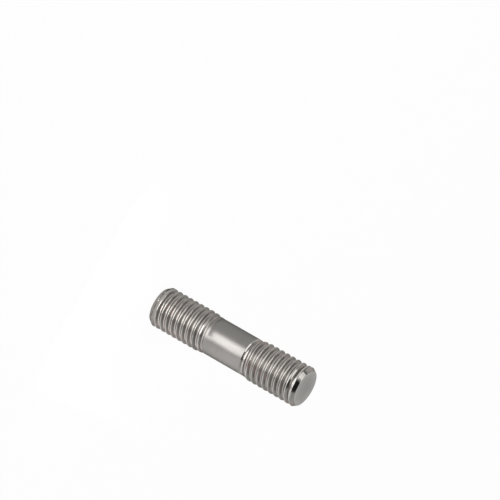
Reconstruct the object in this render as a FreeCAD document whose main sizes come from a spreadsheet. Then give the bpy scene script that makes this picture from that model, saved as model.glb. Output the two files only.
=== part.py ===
import FreeCAD, Part
import Sketcher
import os

# Double ended stud: one steel rod with a coarse right-hand thread rolled on each end and a plain shank between.
# It stands on its lower end face along +Z, with the origin at that face's centre. Lengths are in millimetres.

doc = FreeCAD.newDocument("DoubleEndedStud")

# Driving sizes
driving_sizes = [
    # over both end faces
    ("total_length", "40.4"),
    # from each end face to the full plain shank
    ("top_thread_length", "15.2"),
    ("bottom_thread_length", "15.6"),
    # the threads are rolled on a reduced shank, about as thick as their pitch diameter
    ("crest_diameter", "9.75"),
    ("shank_diameter", "9"),
    ("root_diameter", "8.2"),
    # thread form: flat crests, flanks at the full angle near the crest, then a narrowing root
    ("pitch", "1.5"),
    ("crest_width", "0.33"),
    ("flank_angle", "60"),
    ("flank_height", "0.4"),
    # 45 degree bevel round each end face
    ("top_bevel", "0.6"),
    ("bottom_bevel", "0.6"),
    # how far inside the shank each groove starts, which sets where round the rod its thread begins
    ("top_groove_inset", "1.3"),
    ("bottom_groove_inset", "0.7"),
    # how far the groove's section stands out of the crests, and the shank's feet reach under the roots
    ("groove_overshoot", "0.2"),
    ("foot_depth", "0.1"),
]
sizes = doc.addObject("Spreadsheet::Sheet", "Sizes")
for row, (name, value) in enumerate(driving_sizes, start=1):
    sizes.set("A%d" % row, name)
    sizes.set("B%d" % row, value)
    sizes.setAlias("B%d" % row, name)
doc.recompute()

# Radii and heights that the sections share
crest_r = "Sizes.crest_diameter / 2"
shank_r = "Sizes.shank_diameter / 2"
root_r = "Sizes.root_diameter / 2"
crest_rise = "(Sizes.crest_diameter - Sizes.shank_diameter) / 2"
shank_low = "Sizes.bottom_thread_length"
shank_high = "Sizes.total_length - Sizes.top_thread_length"


def draw_section(body, name, corners):
    """A closed outline on the body's XZ plane, with each corner held at a radius and a height."""
    sketch = body.newObject("Sketcher::SketchObject", name)
    plane = next(part for part in body.Origin.OriginFeatures if part.Role == "XZ_Plane")
    sketch.AttachmentSupport = [(plane, "")]
    sketch.MapMode = "FlatFace"
    places = [
        FreeCAD.Vector(sketch.evalExpression(radius), sketch.evalExpression(height), 0)
        for radius, height in corners
    ]
    for here, there in zip(places, places[1:] + places[:1]):
        sketch.addGeometry(Part.LineSegment(here, there), False)
    for edge, (radius, height) in enumerate(corners):
        edge_before = (edge - 1) % len(corners)
        sketch.addConstraint(Sketcher.Constraint("Coincident", edge_before, 2, edge, 1))
        for kind, size, axis in (("DistanceX", radius, -2), ("DistanceY", height, -1)):
            if size == "0":
                sketch.addConstraint(Sketcher.Constraint("PointOnObject", edge, 1, axis))
                continue
            value = sketch.evalExpression(size)
            held = sketch.addConstraint(Sketcher.Constraint(kind, -1, 1, edge, 1, value))
            sketch.setExpression("Constraints[%d]" % held, size)
    doc.recompute()
    return sketch


def turn(body, name, corners):
    """A solid turned about +Z from a section."""
    section = draw_section(body, name + "Section", corners)
    solid = body.newObject("PartDesign::Revolution", name)
    solid.Profile = section
    solid.ReferenceAxis = (section, ["V_Axis"])
    solid.Angle = 360
    doc.recompute()
    return solid


def cut_thread(body, name, start, run, downwards):
    """A right-hand helical groove cut from inside the shank out past an end face."""
    half_opening = "(Sizes.pitch - Sizes.crest_width) / 2"
    widening = "Sizes.groove_overshoot * tan(Sizes.flank_angle / 2)"
    narrowing = "Sizes.flank_height * tan(Sizes.flank_angle / 2)"
    mouth_r = crest_r + " + Sizes.groove_overshoot"
    knee_r = crest_r + " - Sizes.flank_height"
    mouth = "(%s + %s)" % (half_opening, widening)
    knee = "(%s - %s)" % (half_opening, narrowing)
    section = draw_section(
        body,
        name + "Section",
        [
            (mouth_r, "%s - %s" % (start, mouth)),
            (knee_r, "%s - %s" % (start, knee)),
            (root_r, start),
            (knee_r, "%s + %s" % (start, knee)),
            (mouth_r, "%s + %s" % (start, mouth)),
        ],
    )
    groove = body.newObject("PartDesign::SubtractiveHelix", name)
    groove.Profile = section
    groove.ReferenceAxis = (section, ["V_Axis"])
    groove.Mode = "pitch-height-angle"
    groove.setExpression("Pitch", "Sizes.pitch")
    groove.setExpression("Height", run)
    groove.LeftHanded = False
    groove.Reversed = downwards
    doc.recompute()
    return groove


stud = doc.addObject("PartDesign::Body", "Stud")
stud.Label = "stud"
stud.Placement = FreeCAD.Placement(FreeCAD.Vector(0, 0, 0), FreeCAD.Rotation())

# Rod at crest size, bevelled at both ends, that thins under the shank
turn(
    stud,
    "ThreadBlank",
    [
        ("0", "0"),
        (crest_r + " - Sizes.bottom_bevel", "0"),
        (crest_r, "Sizes.bottom_bevel"),
        (crest_r, shank_low + " - " + crest_rise),
        (root_r, shank_low + " + " + shank_r + " - " + root_r),
        (root_r, shank_high + " - " + shank_r + " + " + root_r),
        (crest_r, shank_high + " + " + crest_rise),
        (crest_r, "Sizes.total_length - Sizes.top_bevel"),
        (crest_r + " - Sizes.top_bevel", "Sizes.total_length"),
        ("0", "Sizes.total_length"),
    ],
)

# Thread grooves, one from each end of the shank out through the bevel
top_start = shank_high + " - Sizes.top_groove_inset"
bottom_start = shank_low + " + Sizes.bottom_groove_inset"
cut_thread(
    stud,
    "TopGroove",
    top_start,
    "Sizes.top_thread_length + Sizes.top_groove_inset + Sizes.pitch",
    False,
)
cut_thread(
    stud,
    "BottomGroove",
    bottom_start,
    "Sizes.bottom_thread_length + Sizes.bottom_groove_inset + Sizes.pitch",
    True,
)

# Plain shank, whose 45 degree shoulders fall away into the first grooves
foot_r = root_r + " - Sizes.foot_depth"
foot_run = "(" + shank_r + " - " + foot_r + ")"
turn(
    stud,
    "Shank",
    [
        ("0", shank_low + " - " + foot_run),
        (foot_r, shank_low + " - " + foot_run),
        (shank_r, shank_low),
        (shank_r, shank_high),
        (foot_r, shank_high + " + " + foot_run),
        ("0", shank_high + " + " + foot_run),
    ],
)

# Every feature must have been built, and the stud must be one sound solid
for item in doc.Objects:
    if "Invalid" in item.State or "Error" in item.State:
        raise RuntimeError("%s was not built: %s" % (item.Label, item.State))
if stud.Shape.isNull() or not stud.Shape.isValid() or len(stud.Shape.Solids) != 1:
    raise RuntimeError("the stud is not one sound solid")

os.makedirs("parts", exist_ok=True)
stud.Shape.exportStep("parts/%s.step" % stud.Label)
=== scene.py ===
import math

import bpy
import numpy as np
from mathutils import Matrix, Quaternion, Vector


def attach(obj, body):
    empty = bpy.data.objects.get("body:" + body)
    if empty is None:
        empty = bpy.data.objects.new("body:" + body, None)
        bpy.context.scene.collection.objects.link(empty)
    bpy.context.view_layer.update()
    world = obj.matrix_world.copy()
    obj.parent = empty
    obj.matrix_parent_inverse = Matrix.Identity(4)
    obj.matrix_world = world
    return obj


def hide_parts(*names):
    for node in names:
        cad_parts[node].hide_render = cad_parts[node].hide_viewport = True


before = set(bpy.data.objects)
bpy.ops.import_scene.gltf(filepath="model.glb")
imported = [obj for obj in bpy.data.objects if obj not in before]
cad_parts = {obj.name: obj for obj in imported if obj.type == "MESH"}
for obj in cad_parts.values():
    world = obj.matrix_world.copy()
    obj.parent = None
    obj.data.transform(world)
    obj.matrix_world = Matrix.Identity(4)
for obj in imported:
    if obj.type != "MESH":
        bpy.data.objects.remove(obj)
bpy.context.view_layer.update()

# Stud: one solid steel rod. Its shank is turned to the thread's pitch diameter, and a coarse right-hand
# thread is rolled into each end, which raises round crests above the shank and leaves a few half-filled
# turns beside it. Both end faces are cut flat and bevelled.
mm = 0.001
total_length = 40.4
shank_low = 15.6
shank_high = 25.2
shank_middle = (shank_low + shank_high) / 2
crest_r = 4.875
shank_r = 4.5
root_r = 4.15
foot_r = 4.0
bevel = 0.6
bevel_length = 0.88
edge_round = 0.08
edge_slope = 2.2

# thread form: round roots and crests, joined by flanks that lean 30 degrees from the radius
pitch = 1.5
crest_width = 0.26
crest_round = 0.19
flank_slope = math.tan(math.radians(30))
arc_turn = math.radians(60)
half_opening = (pitch - crest_width) / 2
root_round = root_r - (crest_r - half_opening / flank_slope)
root_reach = root_round * math.sin(arc_turn)
crest_flat = crest_width / 2 - crest_round * flank_slope
crest_reach = crest_flat + crest_round * math.sin(arc_turn)

# height of a groove's middle on the +X side, for each thread
low_groove_start = shank_low + 0.7
high_groove_start = shank_high - 1.3

# upper thread's last turn, below the end face: a wide crest with a dip in it, then a shallow groove;
# each fades in over a range of distances from its middle
last_crest = 1.2
last_crest_fade = (0.54, 0.24)
crest_widening = 0.16
dip_depth = 0.04
dip_offset = 0.08
dip_reach = 0.14
last_groove = 2.1
last_groove_fade = (0.7, 0.35)
shallow_slope = 0.95
# lower thread's last turn: mostly unformed, between two distances from the end face
unformed_fade = (2.0, 1.4)
unformed_share = 0.8

# run-outs, from the shank: the crests fill up between two distances, behind a neck at the upper thread
upper_run_out = (0.9, 2.7)
lower_run_out = (0, 3.6)
neck_length = 0.58
neck_slope = 1.4
upper_shoulder_slope = 1
lower_shoulder_slope = 0.4


def groove_radius(away):
    """Radius of the thread's surface, for a distance along the rod from the groove's middle."""
    away = np.abs(away)
    bottom = root_r + root_round - np.sqrt(np.maximum(root_round**2 - away**2, 0))
    flank = crest_r - (half_opening - away) / flank_slope
    from_crest = pitch / 2 - away
    shoulder = np.clip(from_crest - crest_flat, 0, crest_round)
    top = crest_r - crest_round + np.sqrt(crest_round**2 - shoulder**2)
    radius = np.where(away < root_reach, bottom, flank)
    return np.where(from_crest < crest_reach, top, radius)


def ramp(value, start, end):
    """0 at start, 1 at end, straight between and level beyond; end may be the lower one."""
    return np.clip((value - start) / (end - start), 0, 1)


def stud_radius(angle, height, groove_start):
    """Radius of the rod at an angle and some heights of one thread, or of the shank."""
    from_end = np.minimum(height, total_length - height)
    to_shank = np.maximum(shank_low - height, height - shank_high)
    upper = height > total_length / 2
    turns = (height - groove_start) / pitch - angle / (2 * math.pi)
    away = (turns - np.round(turns)) * pitch
    above_crest = np.where(away > 0, away - pitch / 2, away + pitch / 2)

    # the upper end's last crest before the bevel is wide, with a shallow dip between two lips
    wide = ramp(np.abs(from_end - last_crest), *last_crest_fade) * upper
    widened = np.where(away > 0, np.minimum(away + crest_widening * wide, pitch / 2), away)
    dip = dip_depth * wide * ramp(np.abs(above_crest + dip_offset), dip_reach, 0)
    thread = groove_radius(widened) - dip
    # the groove under it is shallower on the side that faces the end
    shallow = ramp(np.abs(from_end - last_groove), *last_groove_fade) * upper
    shallow = shallow * (away < 0) * (away > -half_opening)
    raised = np.maximum(thread, crest_r - (half_opening + away) * shallow_slope)
    thread = thread + (raised - thread) * shallow
    # the rolls leave the bevel itself unformed, and at the lower end most of the last turn
    unformed = ramp(from_end, bevel_length + 0.1, bevel_length)
    last_turn = np.minimum(ramp(from_end, *unformed_fade), unformed_share) * (1 - upper)
    thread = thread + (crest_r - thread) * np.maximum(unformed, last_turn)

    # the blank: crest size, with a bevel and a barely rounded edge at the end, and thinner at the shank
    bevelled = crest_r - bevel + from_end * bevel / bevel_length
    rounded = crest_r - bevel - edge_round + from_end * edge_slope
    filled = np.where(upper, ramp(to_shank, *upper_run_out), ramp(to_shank, *lower_run_out))
    filled = shank_r + (crest_r - shank_r) * filled * filled * (3 - 2 * filled)
    neck = shank_r + (to_shank - neck_length * upper) * neck_slope
    blank = np.min([np.full_like(height, crest_r), bevelled, rounded, filled, neck], axis=0)
    shoulder_slope = np.where(upper, upper_shoulder_slope, lower_shoulder_slope)
    core = np.maximum(shank_r - np.maximum(to_shank, 0) * shoulder_slope, foot_r)
    return np.where(to_shank <= 0, shank_r, np.maximum(core, np.minimum(blank, thread)))


def helix_rows():
    """Distances from the groove's middle that get a row of points, over one pitch."""
    root = [root_round * math.sin(math.radians(a)) for a in (-60, -40, -20, 0, 20, 40, 60)]
    crest = [crest_flat + crest_round * math.sin(math.radians(a)) for a in (0, 30, 60)]
    flank = (root_reach + pitch / 2 - crest_reach) / 2
    beside = [pitch / 2 - c for c in crest]
    return sorted(root + [flank, -flank, pitch / 2] + beside + [-b for b in beside])


columns = 200
angles = np.arange(columns) * 2 * math.pi / columns
points, faces = [], []


def thread_band(low, high, groove_start, rings):
    """Adds one thread's surface, in rows that follow the helix, and returns its two end rings."""
    first = groove_start - pitch * math.ceil((groove_start - low) / pitch + 2)
    turns = int((high - first) / pitch) + 3
    rows = np.array([first + pitch * turn + row for turn in range(turns) for row in helix_rows()])
    rows = rows[(rows > low - pitch) & (rows <= high)]
    per_pitch = len(helix_rows())
    grid = []
    for angle in angles:
        climbed = rows + pitch * angle / (2 * math.pi)
        heights = np.sort(np.concatenate([np.clip(climbed, low, high), rings, [low, high]]))
        distinct, place = np.unique(np.round(heights, 6), return_inverse=True)
        radius = stud_radius(angle, distinct, groove_start)
        start = len(points)
        for r, z in zip(radius, distinct):
            points.append((r * math.cos(angle) * mm, r * math.sin(angle) * mm, z * mm))
        grid.append(start + place)
    last = len(grid[0]) - 1
    for j in range(columns):
        here, there = grid[j], grid[(j + 1) % columns]
        # a row that has gone once round meets the one that starts a pitch higher
        shift = per_pitch if j == columns - 1 else 0
        for i in range(last):
            across, beyond = min(i + shift, last), min(i + shift + 1, last)
            corners = [here[i], there[across], there[beyond], here[i + 1]]
            corners = [c for n, c in enumerate(corners) if c != corners[n - 1]]
            if len(corners) > 2:
                faces.append(corners)
    return [g[0] for g in grid], [g[last] for g in grid]


def ring(radius, height):
    """Adds one plain ring of points."""
    start = len(points)
    for angle in angles:
        points.append((radius * math.cos(angle) * mm, radius * math.sin(angle) * mm, height * mm))
    return list(range(start, start + columns))


def join(lower, upper):
    """Joins two rings, the first one below or inside the second, seen from outside."""
    for j in range(columns):
        k = (j + 1) % columns
        faces.append([lower[j], lower[k], upper[k], upper[j]])


# both threads, with level rings of points where the outline bends beside the shank and at the bevel
near_shank = np.linspace(0, 0.6, 13)
near_end = np.concatenate([[0.02, 0.042], np.linspace(0.1, bevel_length, 9)])
low_rings = np.concatenate([near_end, shank_low - near_shank])
high_rings = np.concatenate([shank_high + near_shank, total_length - near_end])
foot, low_neck = thread_band(0, shank_low, low_groove_start, low_rings)
high_neck, head = thread_band(shank_high, total_length, high_groove_start, high_rings)

# the plain shank between them, and the two end faces
previous = low_neck
for height in np.linspace(shank_low, shank_high, 9)[1:-1]:
    following = ring(shank_r, height)
    join(previous, following)
    previous = following
join(previous, high_neck)
for edge, height, upper in ((foot, 0, False), (head, total_length, True)):
    for radius in (3.9, 2.6, 1.3):
        inner = ring(radius, height)
        join(*((edge, inner) if upper else (inner, edge)))
        edge = inner
    centre = len(points)
    points.append((0, 0, height * mm))
    for j in range(columns):
        k = (j + 1) % columns
        faces.append([edge[j], edge[k], centre] if upper else [edge[k], edge[j], centre])

stud_mesh = bpy.data.meshes.new("rolled_stud")
stud_mesh.from_pydata(points, [], faces)
stud_mesh.shade_smooth()
stud_mesh.set_sharp_from_angle(angle=math.radians(36))
stud = bpy.data.objects.new("rolled_stud", stud_mesh)
bpy.context.scene.collection.objects.link(stud)


class Wire:
    """One output of a finish; Python's operators join it to numbers and outputs with Math nodes."""

    def __init__(self, finish, socket):
        self.finish = finish
        self.socket = socket

    def maths(self, operation, *others):
        """A Math node whose first operand is this output."""
        return self.finish.maths(operation, self, *others)

    def __add__(self, other):
        return self.maths("ADD", other)

    __radd__ = __add__

    def __sub__(self, other):
        return self.maths("SUBTRACT", other)

    def __rsub__(self, other):
        return self.finish.maths("SUBTRACT", other, self)

    def __mul__(self, other):
        return self.maths("MULTIPLY", other)

    __rmul__ = __mul__

    def __truediv__(self, other):
        return self.maths("DIVIDE", other)

    def __rtruediv__(self, other):
        return self.finish.maths("DIVIDE", other, self)

    def __abs__(self):
        return self.maths("ABSOLUTE")

    def rise(self, low, high):
        """0 below low, 1 above high, and a soft step between; high may be the lower one."""
        settings = {"interpolation_type": "SMOOTHSTEP"}
        sockets = {0: self, 1: low, 2: high, 3: 0.0, 4: 1.0}
        return self.finish.node("ShaderNodeMapRange", settings, sockets)

    def output(self, name):
        """Another output of the same node."""
        return Wire(self.finish, self.socket.node.outputs[name])


class Finish:
    """The nodes of one finish."""

    def __init__(self, holder):
        holder.use_nodes = True
        self.tree = holder.node_tree
        self.tree.nodes.clear()

    def node(self, kind, settings=None, sockets=None, output=0):
        """Adds a node: first its settings, then a value or a link for each socket."""
        node = self.tree.nodes.new(kind)
        for name, value in (settings or {}).items():
            setattr(node, name, value)
        for name, value in (sockets or {}).items():
            if isinstance(value, Wire):
                self.tree.links.new(value.socket, node.inputs[name])
            else:
                node.inputs[name].default_value = value
        return Wire(self, node.outputs[output]) if len(node.outputs) else None

    def maths(self, operation, *operands):
        return self.node("ShaderNodeMath", {"operation": operation}, dict(enumerate(operands)))

    def vector(self, x, y, z):
        return self.node("ShaderNodeCombineXYZ", {}, {0: x, 1: y, 2: z})

    def noise(self, place, detail=2.0, roughness=0.5):
        sockets = {"Vector": place, "Scale": 1.0, "Detail": detail, "Roughness": roughness}
        return self.node("ShaderNodeTexNoise", {}, sockets)

    def blend(self, share, first, second, how="MIX"):
        """Mixes two colours."""
        settings = {"data_type": "RGBA", "blend_type": how}
        return self.node("ShaderNodeMix", settings, {0: share, 6: first, 7: second}, output=2)


plated_steel = bpy.data.materials.new("plated_steel")
steel = Finish(plated_steel)
place = steel.node("ShaderNodeTexCoord", output="Object")
axes = steel.node("ShaderNodeSeparateXYZ", {}, {0: place})
across_x = axes.output("X") / mm
across_y = axes.output("Y") / mm
height = axes.output("Z") / mm
reach = (across_x * across_x + across_y * across_y).maths("SQRT")
# millimetres outside the shank's ends, and outside the end faces, so less than 0 within them
from_shank = abs(height - shank_middle) - (shank_high - shank_low) / 2
from_face = abs(height - total_length / 2) - total_length / 2

# where the surface is, from 0 to 1 for each kind
on_upper = height.rise(total_length / 2 - 0.1, total_length / 2 + 0.1)
on_shank = from_shank.rise(0.02, -0.03)
on_face = from_face.rise(-0.02, -0.004)
on_bevel = from_face.rise(-bevel_length - 0.06, -bevel_length) * (1 - on_face)
on_shoulder = from_shank.rise(0.4, 0.34) * from_shank.rise(-0.01, 0.01) * on_upper
on_cone = on_bevel + on_shoulder
on_thread = (1 - on_shank) * (1 - on_face)
in_root = reach.rise(4.3, root_r + 0.04) * on_thread
on_crest = reach.rise(crest_r - 0.12, crest_r - 0.03) * on_thread
# the shank's plain surface fades out over the lower thread's first turn, beside duller turns
plain = (shank_low - height).rise(1.8, 0.4) * (height - shank_high).rise(0.01, -0.01)
beside_upper = from_shank.rise(1.6, 1.0) * from_shank.rise(0.3, 0.4) * on_upper
beside_lower = from_shank.rise(4.2, 3.0) * from_shank.rise(0.4, 1.8) * (1 - on_upper)
beside_shank = beside_upper + beside_lower

# turns climbed along the thread, and the distance from the nearest groove's middle
groove_start = low_groove_start + on_upper * (high_groove_start - low_groove_start)
angle = across_x.maths("ARCTAN2", 0 - across_y)
climbed = (height - groove_start) / pitch - angle / (2 * math.pi) + 0.25
away = (climbed - climbed.maths("ROUND")) * pitch


def marks(across, along, detail=2.0, roughness=0.5):
    """Uneven marks, as fine across the rod as across says, and along it as along does."""
    return steel.noise(steel.vector(across_x * across, across_y * across, along), detail, roughness)


# turning and rolling leave marks that run round the rod
clouds = marks(0.45, height * 0.3, detail=3.0)
fine_lines = marks(0.25, height * 26, roughness=0.7)
coarse_lines = marks(0.6, away * 7 + height, detail=3.0, roughness=0.6)
speckle = marks(9, height * 9)
stain = steel.noise(steel.vector(across_x * 0.35 + 7, across_y * 0.35, height * 0.22)).rise(0.5, 0.66)

steel_colour = (0.315, 0.301, 0.283, 1)
shank_colour = (0.212, 0.204, 0.195, 1)
face_colour = (0.52, 0.507, 0.493, 1)
groove_colour = (0.41, 0.382, 0.361, 1)
stain_colour = (0.37, 0.318, 0.302, 1)
bright_colour = (0.55, 0.537, 0.52, 1)
# tint of what the metal mirrors at a low angle
grazing_tint = (0.42, 0.41, 0.4, 1)
stained = stain * on_thread * (1 - plain) * (1 - on_crest)
burnished = on_crest * (1 - plain) * (0.22 + on_upper * 0.18) + on_shoulder * 0.45
colour = steel.blend(plain + beside_shank * 0.55, steel_colour, shank_colour)
colour = steel.blend(on_face, colour, face_colour)
colour = steel.blend(in_root * 0.75, colour, groove_colour)
colour = steel.blend(stained * 0.7, colour, stain_colour)
colour = steel.blend(burnished, colour, bright_colour)
shade = 1.0 + (clouds - 0.5) * (0.2 - on_shank * 0.1) + (speckle - 0.5) * on_thread * 0.1
shade = shade + (coarse_lines - 0.5) * (on_thread * 0.9 + 0.05)
# painted shading: the end faces are made a little lighter toward their rims, standing in for the light
# that a slightly dished face would catch
shade = shade + (reach * reach / 18 - 0.45) * on_face * 0.25
grey = steel.node("ShaderNodeCombineColor", {}, {0: shade, 1: shade, 2: shade})
colour = steel.blend(1.0, colour, grey, "MULTIPLY")

inner_flanks = (1 - on_crest) * (on_thread - on_cone) * from_face.rise(-2.0, -4.0)
roughness = 0.19 + (clouds - 0.5) * 0.08 + (coarse_lines - 0.5) * 0.08
roughness = roughness + in_root * 0.1 + inner_flanks * 0.06
roughness = roughness + plain * 0.14 + on_face * 0.12 - on_cone * 0.07

# the normal leans along the rod on those marks, and outward on the rings that facing off leaves
lean = (fine_lines - 0.5) * (on_shank * 0.6 + on_thread * 0.1)
lean = lean + (coarse_lines - 0.5) * (on_thread - on_cone) * 0.14
cut_rings = steel.noise(steel.vector(reach * 7, height * 0.1, across_x * 0.15), roughness=0.6)
face_lean = (cut_rings - 0.5) * on_face * 0.1 / reach
leaning = steel.vector(across_x * face_lean, across_y * face_lean, lean)
own_normal = steel.node("ShaderNodeNewGeometry", output="Normal")
tilted = steel.node("ShaderNodeVectorMath", {"operation": "ADD"}, {0: own_normal, 1: leaning})
tilted = steel.node("ShaderNodeVectorMath", {"operation": "NORMALIZE"}, {0: tilted})
pits = (speckle * 0.6 + clouds) * (1 - on_shank * 0.75)
pitting = {"Strength": 0.35, "Distance": 0.02 * mm, "Height": pits, "Normal": tilted}
pitted = steel.node("ShaderNodeBump", {}, pitting)
metal = steel.node(
    "ShaderNodeBsdfPrincipled",
    {},
    {
        "Base Color": colour,
        "Metallic": 1.0,
        "Roughness": roughness,
        "Specular Tint": grazing_tint,
        "Normal": pitted,
    },
)
steel.node("ShaderNodeOutputMaterial", {}, {"Surface": metal})
stud_mesh.materials.append(plated_steel)
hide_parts("stud")
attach(stud, "root")

# Floor: a plain white sheet that the stud stands on. The camera and the metal see it near white, and
# it keeps the stud's shadow.
floor_mesh = bpy.data.meshes.new("floor")
floor_corners = [(x, y, -0.01 * mm) for x, y in ((-2, -2), (2, -2), (2, 2), (-2, 2))]
floor_mesh.from_pydata(floor_corners, [], [[0, 1, 2, 3]])
floor = bpy.data.objects.new("floor", floor_mesh)
bpy.context.scene.collection.objects.link(floor)
white_sheet = bpy.data.materials.new("white_sheet")
sheet = Finish(white_sheet)
seen = sheet.node("ShaderNodeLightPath", output="Is Camera Ray")
seen = seen + seen.output("Is Glossy Ray") + seen.output("Is Transmission Ray")
matt = sheet.node("ShaderNodeBsdfDiffuse", {}, {"Color": (0.86, 0.86, 0.86, 1)})
white = sheet.node("ShaderNodeEmission", {}, {"Color": (1, 1, 1, 1), "Strength": 1.0})
paper = sheet.node("ShaderNodeMixShader", {}, {0: seen * 0.95, 1: matt, 2: white})
sheet.node("ShaderNodeOutputMaterial", {}, {"Surface": paper})
floor_mesh.materials.append(white_sheet)

# Light: a white room that darkens a little upward, with one large softbox at the upper left. Strip
# lamps stand low in front of the stud and at its right, and a grey, a black and a bright card hang
# round it, for the metal to mirror.
world = bpy.data.worlds.new("studio")
bpy.context.scene.world = world
studio = Finish(world)
toward = studio.node("ShaderNodeTexCoord", output="Generated")
direction = studio.node("ShaderNodeSeparateXYZ", {}, {0: toward})
degrees = 180 / math.pi
# degrees up from level, and round from the front, positive toward -X
upward = direction.output("Z").maths("ARCSINE") * degrees
frontward = 0 - direction.output("Y")
round_about = (0 - direction.output("X")).maths("ARCTAN2", frontward) * degrees
soft = 5.0


def card(round_low, round_high, low, high):
    """1 inside a range of directions, round the stud and up from level, with soft edges."""
    width = round_about.rise(round_low - soft, round_low + soft)
    width = width * round_about.rise(round_high + soft, round_high - soft)
    return width * upward.rise(low - soft, low + soft) * upward.rise(high + soft, high - soft)


level = 1.0 - upward.rise(2, 30) * 0.3
for range_round, range_up, strength in (
    ((28, 92), (9, 38), 0.08),
    ((-62, 22), (37, 86), 0.02),
    ((-20, 32), (-5, 30), 2.1),
):
    share = card(*range_round, *range_up)
    level = level * (1 - share) + share * strength
backdrop = studio.node("ShaderNodeBackground", {}, {"Color": (1, 1, 1, 1), "Strength": level})
studio.node("ShaderNodeOutputWorld", {}, {"Surface": backdrop})


def panel(name, width, depth, place, aim, radiance):
    """A flat softbox that faces a point; a radiance of 1 is as bright as the white room."""
    lamp_data = bpy.data.lights.new(name, "AREA")
    lamp_data.shape = "RECTANGLE"
    lamp_data.size, lamp_data.size_y = width, depth
    lamp_data.energy = radiance * math.pi * width * depth
    lamp = bpy.data.objects.new(name, lamp_data)
    lamp.location = place
    lamp.rotation_mode = "QUATERNION"
    lamp.rotation_quaternion = (Vector(aim) - Vector(place)).to_track_quat("-Z", "Y")
    bpy.context.scene.collection.objects.link(lamp)


panel("left_softbox", 0.24, 0.34, (-0.185, -0.1, 0.33), (0, 0, 0.03), 1.6)
panel("front_strip", 0.012, 0.036, (-0.001, -0.015, 0.0185), (-0.001, 0, 0.0185), 0.3)
panel("upper_front_strip", 0.012, 0.016, (-0.001, -0.015, 0.034), (-0.001, 0, 0.034), 0.3)
panel("low_front_strip", 0.0355, 0.0137, (0.00275, -0.039, 0.00715), (0.00275, 0, 0.00715), 5.0)
panel("right_strip", 0.061, 0.018, (0.03, -0.0055, 0.011), (0, -0.0055, 0.011), 0.85)

# Camera: a long lens 0.8 m away and 23 degrees above level, rolled so that the stud's upper end points
# to the lower right of the picture, as in the photograph.
elevation = math.radians(22.94)
distance = 0.8
picture_px = 500
focal_px = 3580.0
stud_px = (233.1, 347.0)
axis_below_level = 29.9
camera_data = bpy.data.cameras.new("camera")
camera_data.sensor_width = 36.0
camera_data.lens = focal_px * camera_data.sensor_width / picture_px
camera_data.clip_start, camera_data.clip_end = 0.01, 10
camera = bpy.data.objects.new("camera", camera_data)
back = Vector((0, -math.cos(elevation), math.sin(elevation)))
camera.location = Vector((0, 0, shank_middle * mm)) + back * distance
camera.rotation_mode = "QUATERNION"
look = (-back).to_track_quat("-Z", "Y")
roll = Quaternion((0, 0, 1), math.radians(90 + axis_below_level))
off_centre = Vector((stud_px[0] - picture_px / 2, picture_px / 2 - stud_px[1], -focal_px))
aim = off_centre.rotation_difference(Vector((0, 0, -1)))
camera.rotation_quaternion = look @ roll @ aim
bpy.context.scene.collection.objects.link(camera)
bpy.context.scene.camera = camera

bpy.context.scene.view_settings.view_transform = "Standard"
